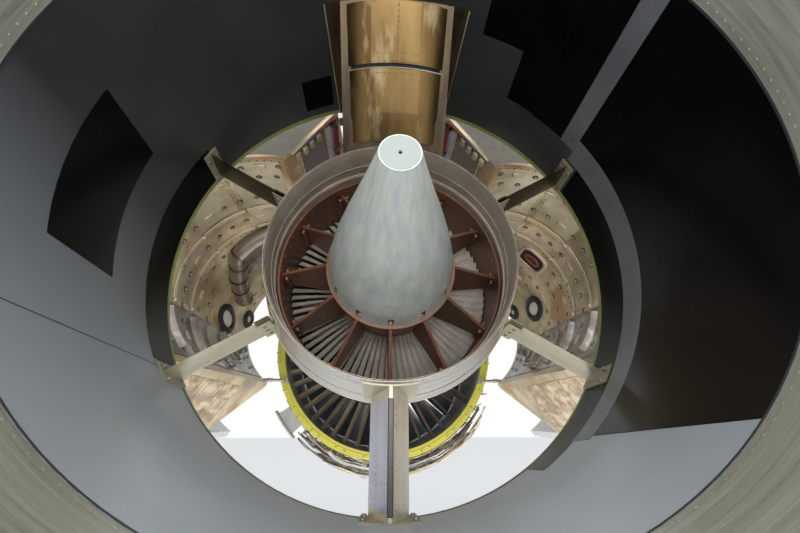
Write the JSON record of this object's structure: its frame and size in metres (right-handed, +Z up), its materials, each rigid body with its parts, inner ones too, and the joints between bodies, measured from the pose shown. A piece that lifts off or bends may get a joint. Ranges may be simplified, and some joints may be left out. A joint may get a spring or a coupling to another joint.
{
  "type": "turbofan jet engine with its duct doors open",
  "caption": "Turbofan jet engine with fan, core, exhaust cone and long common nozzle, hung from a beam, with two duct doors propped open on rods.",
  "frame": {"origin": "centre of the engine axis in the front face of the fan case flange", "axes": "+Y forward along the engine axis, out of the intake; +Z up towards the beam; +X to the right seen from behind the engine"},
  "size_m": [3.0654, 3.938, 2.112],
  "materials": {
    "case_metal": "satin",
    "liner_grey": "matt",
    "primer_ring": "satin",
    "vane_metal": "satin",
    "core_steel": "brushed",
    "hot_steel": "heat stained",
    "cone_steel": "satin, heat tinted",
    "nozzle_steel": "satin",
    "green_primer": "satin",
    "lining_dark": "satin",
    "skin_metal": "brushed",
    "strut_metal": "satin",
    "bolt_metal": "satin",
    "fairing_bronze": "heat stained",
    "beam_metal": "satin",
    "box_metal": "cast, satin",
    "pipe_metal": "satin",
    "blade_metal": "satin",
    "fan_metal": "satin",
    "wall_gold": "satin",
    "cowl_white": "gloss"
  },
  "bodies": {
    "engine": {"fan_case": "case_metal", "fan_liner": "liner_grey", "rear_flange_ring": "primer_ring", "outlet_guide_vanes": "vane_metal", "fan_frame": "core_steel", "splitter": "core_steel", "booster_case": "core_steel", "compressor_case": "core_steel", "combustor_case": "hot_steel", "combustor_liner": "hot_steel", "fuel_nozzles": "pipe_metal", "front_turbine_case": "hot_steel", "lp_turbine_case": "hot_steel", "exhaust_case": "hot_steel", "tail_cone": "cone_steel", "tail_cone_bolts": "bolt_metal", "primary_nozzle": "nozzle_steel", "nozzle_front_ring": "green_primer", "nozzle_lining": "lining_dark", "nozzle_skin": "skin_metal", "nozzle_trailing_ring": "skin_metal", "upper_left_strut": "strut_metal", "upper_right_strut": "strut_metal", "lower_left_strut": "strut_metal", "lower_right_strut": "strut_metal", "bottom_strut": "strut_metal", "strut_end_plates": "strut_metal", "strut_bolts": "bolt_metal", "pylon_fairing": "fairing_bronze", "pylon_beam": "beam_metal", "front_mount": "core_steel", "rear_mount": "core_steel", "accessory_gearbox": "box_metal", "starter": "box_metal", "generator": "box_metal", "fuel_pump": "box_metal", "oil_tank": "box_metal", "bleed_duct": "pipe_metal", "fan_case_pipes": "pipe_metal", "front_bearings": "bolt_metal", "rear_bearings": "bolt_metal", "door_hinge_pins": "bolt_metal"},
    "lp_spool": {"spinner": "fan_metal", "fan_disc": "fan_metal", "fan_blades": "fan_metal", "booster_rotor": "blade_metal", "lp_shaft": "core_steel", "lp_turbine_rotor": "blade_metal", "last_stage_blades": "blade_metal"},
    "core_spool": {"compressor_rotor": "blade_metal", "front_turbine_rotor": "blade_metal"},
    "left_door": {"left_inner_wall": "wall_gold", "left_outer_wall": "cowl_white", "left_hinge_arms": "bolt_metal"},
    "right_door": {"right_inner_wall": "wall_gold", "right_outer_wall": "cowl_white", "right_hinge_arms": "bolt_metal"},
    "left_rod": {"left_hold_open_rod": "bolt_metal"},
    "right_rod": {"right_hold_open_rod": "bolt_metal"}
  },
  "joints": [
    {"name": "fan_and_turbine_spin", "type": "hinge", "parent": "engine", "child": "lp_spool", "pos_m": [0, -1.2, 0], "axis": [0, 1, 0], "continuous": true},
    {"name": "core_spin", "type": "hinge", "parent": "engine", "child": "core_spool", "pos_m": [0, -1.8, 0], "axis": [0, 1, 0], "continuous": true},
    {"name": "left_door_hinge", "type": "hinge", "parent": "engine", "child": "left_door", "pos_m": [-0.17, -1.984, 0.985], "axis": [0, -1, 0], "range_deg": [0, 35]},
    {"name": "right_door_hinge", "type": "hinge", "parent": "engine", "child": "right_door", "pos_m": [0.17, -1.984, 0.985], "axis": [0, 1, 0], "range_deg": [0, 35]},
    {"name": "left_rod_pivot", "type": "hinge", "parent": "left_door", "child": "left_rod", "pos_m": [-1.36585, -1.22, -0.2671], "axis": [0, -1, 0], "range_deg": [0, 94.3]},
    {"name": "right_rod_pivot", "type": "hinge", "parent": "right_door", "child": "right_rod", "pos_m": [1.36585, -1.22, -0.2671], "axis": [0, 1, 0], "range_deg": [0, 94.3]}
  ],
  "couplings": [
    {"joint": "left_rod_pivot", "follows": "left_door_hinge", "ratio": 2.6942},
    {"joint": "right_rod_pivot", "follows": "right_door_hinge", "ratio": 2.6942}
  ]
}
